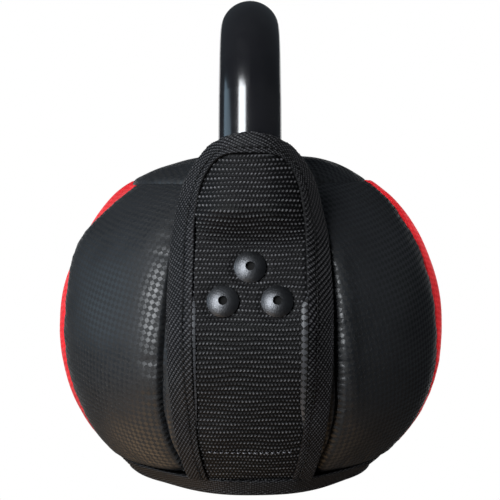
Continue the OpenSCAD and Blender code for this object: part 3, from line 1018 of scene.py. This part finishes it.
def pocket_lining(side):
    """The cloth that closes the pocket behind the tube."""
    rows, cols = 61, 121
    z = np.linspace(159, 190, rows)[:, None]
    t = np.linspace(-1, 1, cols)[None, :]
    half = strap_y(z + 4) - 2.0
    edge = pocket_edge_x(z) - 1.8
    back = leg_x(z) - (TUBE_R + 0.6) / math.cos(LEAN) - 1.2
    y, z, x = np.broadcast_arrays(t * half, z, np.minimum(edge, mix(back, edge, np.abs(t) ** 3)))
    points = np.stack([x + 0.35 * ripple(y, z, 14, 61), y, z], axis=-1)
    inward = np.broadcast_to([-1.2, 0, 0], points.shape)
    uv = np.stack([y, z], axis=-1)
    turn = SIDES[side]
    obj = shell(f"pocket_cloth_{side}", turned(points, turn), turned(inward, turn), uv, rib_weave(y, z))
    dress(obj, BLACK_WEBBING)
    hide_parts(f"pocket_lining_{side}")


# ---- Base and filling ----


def strap_share(angle):
    """1 where a strap's foot passes under the base's edging, falling to 0 beside it."""
    from_strap = np.abs((np.degrees(angle) + 87) % 180 - 90)
    return smooth(48, 8, from_strap)


def base_edging():
    """The twill tape round the base: over the panels' hems and the straps' feet, and down under the foot."""
    rows, cols = 41, 1400
    angle = np.linspace(0, 2 * np.pi, cols, endpoint=False)[None, :]
    # From inside the foot, up over the hems: radius, height, and how far a strap's foot pushes it out.
    section = np.array([
        [BASE_R - 3.5, 0.3, 0],
        [BASE_R - 0.5, 0.1, 4],
        [BINDING_FOOT_R - 0.4, 0.15, 10],
        [BINDING_FOOT_R + 0.5, 0.8, 10.5],
        [BINDING_FOOT_R + 1.5, 2.6, 10],
        [BINDING_TOP_R + 1.6, BINDING_TOP_Z - 0.5, 7.5],
        [BINDING_TOP_R + 3.2, BINDING_TOP_Z + 1.5, 7],
        [BINDING_TOP_R + 2.6, BINDING_TOP_Z + 2.3, 6],
        [BINDING_TOP_R - 2.4, BINDING_TOP_Z, 3],
        [BASE_R - 4, BINDING_TOP_Z - 1, 0],
    ])
    line, shift = section[:, :2], section[:, 2]
    run = lengths_along(line)
    s = np.linspace(0, run[-1], rows)
    under = strap_share(angle)
    r = np.interp(s, run, line[:, 0])[:, None] + np.interp(s, run, shift)[:, None] * under
    z = np.interp(s, run, line[:, 1])[:, None]
    points = np.stack(np.broadcast_arrays(r * np.cos(angle), r * np.sin(angle), z), axis=-1)
    along, across = np.broadcast_arrays(angle * BINDING_FOOT_R, s[:, None])
    height = twill_weave(along, across, -25)
    calm = smooth(0.3, 1.5, z)
    off = (0.5 * (height - 1) + 0.3 * ripple(along, across, 22, 71)) * calm
    normals = normals_of(points)
    points = points + normals * off[..., None]
    uv = np.stack([along, across], axis=-1)
    obj = shell("base_edging", points, -0.9 * normals, uv, height, ring=True)
    dress(obj, BLACK_TWILL)
    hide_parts("base_binding")


def base_disc():
    """The round cloth base, resting flat, dished a little towards its middle."""
    rows, cols = 121, 240
    rho = np.linspace(1e-6, 1, rows)[:, None]
    angle = np.linspace(0, 2 * np.pi, cols, endpoint=False)[None, :]
    x, y = rho * BASE_R * np.cos(angle), rho * BASE_R * np.sin(angle)
    z = 0.9 * smooth(1, 0.55, rho) + 0.12 * ripple(x, y, 25, 81) * smooth(1, 0.8, rho) + 0.35
    points = np.stack(np.broadcast_arrays(x, y, z), axis=-1)
    height = rib_weave(x, y)
    uv = np.stack([x, y], axis=-1)
    obj = shell("base_cover", points, np.array([0, 0, 1.5]), uv, height, ring=True)
    dress(obj, BASE_CLOTH)
    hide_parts("base_panel")


def wadding_fill():
    """The filling just under the covers, lumpy, and lower than the bottom of every seam."""
    rows, cols = 90, 160
    t = np.linspace(0, 1, rows)[:, None]
    z_low, z_high = BASE_SEAM_Z + 0.4, DOME_TOP_Z - 6
    z = mix(z_low, z_high, t)
    angle = np.linspace(0, 2 * np.pi, cols, endpoint=False)[None, :]
    dome_z = TOP_SEAM_Z - 6
    up_dome = np.maximum(0, (z - dome_z) / (z_high - dome_z))
    dome = TOP_SEAM_R * np.sqrt(np.maximum(0, 1 - up_dome**2)) + 6
    r = np.where(z < dome_z, ball_r(z), np.minimum(ball_r(z), dome)) - 9.5
    r = r + 0.9 * ripple(angle * 80, z, 18, 91)
    points = np.stack(np.broadcast_arrays(r * np.cos(angle), r * np.sin(angle), z + 0 * angle), axis=-1)
    faces = quads(rows, cols, ring=True)
    faces += [list(range(cols))[::-1], [(rows - 1) * cols + j for j in range(cols)]]
    obj = mesh_object("wadding_fill", points, faces)
    dress(obj, WADDING_FIBRE)
    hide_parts("wadding")


# ---- CAD nodes that stay ----


def dress_cad_nodes():
    """Better materials for the CAD nodes that are shown as they are."""
    kept = {
        "handle_tube": HANDLE_BLACK,
        "base_stiffener": STIFF_PLASTIC,
        "weight_bag": BAG_CANVAS,
        "iron_sand": IRON_SAND,
    }
    for side in SIDES:
        kept[f"handle_plate_{side}"] = BARE_STEEL
        kept[f"backing_plate_{side}"] = BARE_STEEL
        for which in RIVET_SPOTS:
            kept[f"rivet_{side}_{which}"] = RIVET_BLACK
            kept[f"mandrel_{side}_{which}"] = MANDREL_SHADE_BLACK
    for node, material in kept.items():
        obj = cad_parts[node]
        obj.data.materials.clear()
        obj.data.materials.append(material)


# ---- Stage, light and camera ----


def stage():
    """A plain white floor, and a world that looks white but gives only faint light."""
    white = bpy.data.materials.new("stage_white")
    white.use_nodes = True
    tree = white.node_tree
    tree.nodes.clear()
    glow = tree.nodes.new("ShaderNodeEmission")
    glow.inputs["Strength"].default_value = 1.0
    out = tree.nodes.new("ShaderNodeOutputMaterial")
    tree.links.new(glow.outputs[0], out.inputs[0])
    mesh = bpy.data.meshes.new("floor")
    reach = 6.0
    corners = [(-reach, -reach, 0), (reach, -reach, 0), (reach, reach, 0), (-reach, reach, 0)]
    mesh.from_pydata(corners, [], [(0, 1, 2, 3)])
    floor = bpy.data.objects.new("floor", mesh)
    floor.location.z = -0.0005
    bpy.context.scene.collection.objects.link(floor)
    mesh.materials.append(white)
    floor.visible_diffuse = False
    floor.visible_glossy = False
    floor.visible_shadow = False
    world = bpy.data.worlds.new("studio")
    bpy.context.scene.world = world
    world.use_nodes = True
    nodes = world.node_tree.nodes
    links = world.node_tree.links
    back = nodes["Background"]
    back.inputs["Color"].default_value = (0.75, 0.87, 1.0, 1)
    back.inputs["Strength"].default_value = 0.045
    shown = nodes.new("ShaderNodeBackground")
    shown.inputs["Color"].default_value = (1, 1, 1, 1)
    path = nodes.new("ShaderNodeLightPath")
    pick = nodes.new("ShaderNodeMixShader")
    links.new(path.outputs["Is Camera Ray"], pick.inputs[0])
    links.new(back.outputs[0], pick.inputs[1])
    links.new(shown.outputs[0], pick.inputs[2])
    links.new(pick.outputs[0], nodes["World Output"].inputs[0])


def softbox(name, azimuth, elevation, distance, size, power, colour, glint=True):
    """A soft light aimed at the ball's middle; azimuth 90 is the camera's side and more is to its right.

    glint is False for a light that is left out of reflections.
    """
    a, e = math.radians(azimuth), math.radians(elevation)
    away = Vector((math.sin(a) * math.cos(e), -math.cos(a) * math.cos(e), math.sin(e)))
    data = bpy.data.lights.new(name, "AREA")
    data.shape = "RECTANGLE"
    data.size, data.size_y = size
    data.energy = power
    data.color = colour
    light = bpy.data.objects.new(name, data)
    light.location = Vector((0, 0, 0.12)) + away * distance
    light.rotation_mode = "QUATERNION"
    light.rotation_quaternion = away.to_track_quat("Z", "Y")
    light.visible_camera = False
    light.visible_glossy = glint
    bpy.context.scene.collection.objects.link(light)


def lights():
    """Lights by name: azimuth, elevation, distance, size, power and colour."""
    softbox("key", 60, 14, 1.4, (0.58, 1.35), 40, (0.93, 0.965, 1.0))
    softbox("high", 40, 66, 1.4, (0.8, 0.6), 12, (0.97, 0.98, 1.0), glint=False)
    softbox("side", 0, 8, 1.3, (0.8, 0.8), 3.0, (0.56, 0.8, 1.0))
    softbox("fill_right", 190, 14, 1.3, (0.6, 0.9), 18, (1.0, 1.0, 1.0), glint=False)
    softbox("backdrop", 270, -4, 1.6, (2.2, 1.2), 8, (1.0, 1.0, 1.0))
    softbox("table_left", 8, -58, 0.9, (1.0, 0.5), 2.6, (1.0, 0.66, 0.36))
    softbox("table_right", 165, -62, 0.8, (0.6, 0.4), 0.4, (1.0, 0.66, 0.36))


def camera():
    """The photo's view: from +X, a little above the ball's middle and looking slightly down."""
    data = bpy.data.cameras.new("camera")
    data.sensor_width = 36.0
    data.lens = 83.0
    data.clip_start = 0.01
    cam = bpy.data.objects.new("camera", data)
    cam.location = (0.712, 0, 0.165)
    cam.rotation_euler = (math.radians(90 - 2.68), 0, math.radians(90))
    bpy.context.scene.collection.objects.link(cam)
    bpy.context.scene.camera = cam


side_panels()
top_cover()
seam_threads()
for side_name in SIDES:
    webbing(side_name)
    edging(side_name)
    strap_threads(side_name)
    facing(side_name)
    pocket_lining(side_name)
base_edging()
base_disc()
wadding_fill()
dress_cad_nodes()
stage()
lights()
camera()
bpy.context.scene.view_settings.view_transform = "Standard"
